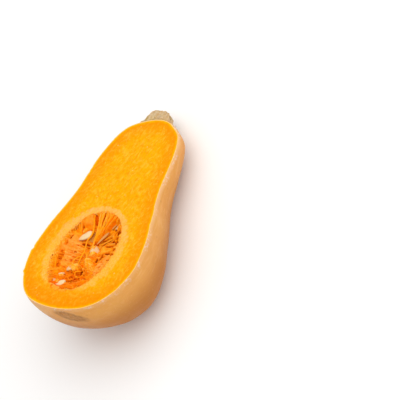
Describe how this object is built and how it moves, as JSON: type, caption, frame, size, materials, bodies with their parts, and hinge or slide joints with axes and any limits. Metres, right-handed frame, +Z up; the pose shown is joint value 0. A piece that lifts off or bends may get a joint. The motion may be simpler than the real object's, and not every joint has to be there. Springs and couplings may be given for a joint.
{
  "type": "halved butternut squash",
  "caption": "Butternut squash cut in half lengthwise, lying on its rind with the cut face up: flesh, seed hollow with stringy pulp and seeds, and a corky stem stub.",
  "frame": {"origin": "middle of the bounding box at the table, so the half lies on the plane Z = 0", "axes": "+X along the squash from the blossom end to the stem, +Z up from the table; the cut face looks up and leans a little towards the stem"},
  "size_m": [0.2238, 0.124, 0.089],
  "materials": {
    "flesh_and_rind": "moist orange flesh with a smooth tan rind",
    "stem": "dry cork, rough",
    "pulp": "wet orange strings",
    "seed": "smooth cream hull, slightly wet"
  },
  "bodies": {
    "root": {"squash_half": "flesh_and_rind", "stem": "stem", "seed_pulp": "pulp", "seed_01": "seed", "seed_02": "seed", "seed_03": "seed", "seed_04": "seed", "seed_05": "seed", "seed_06": "seed", "seed_07": "seed", "seed_08": "seed", "seed_09": "seed", "seed_10": "seed", "seed_11": "seed"}
  },
  "joints": []
}
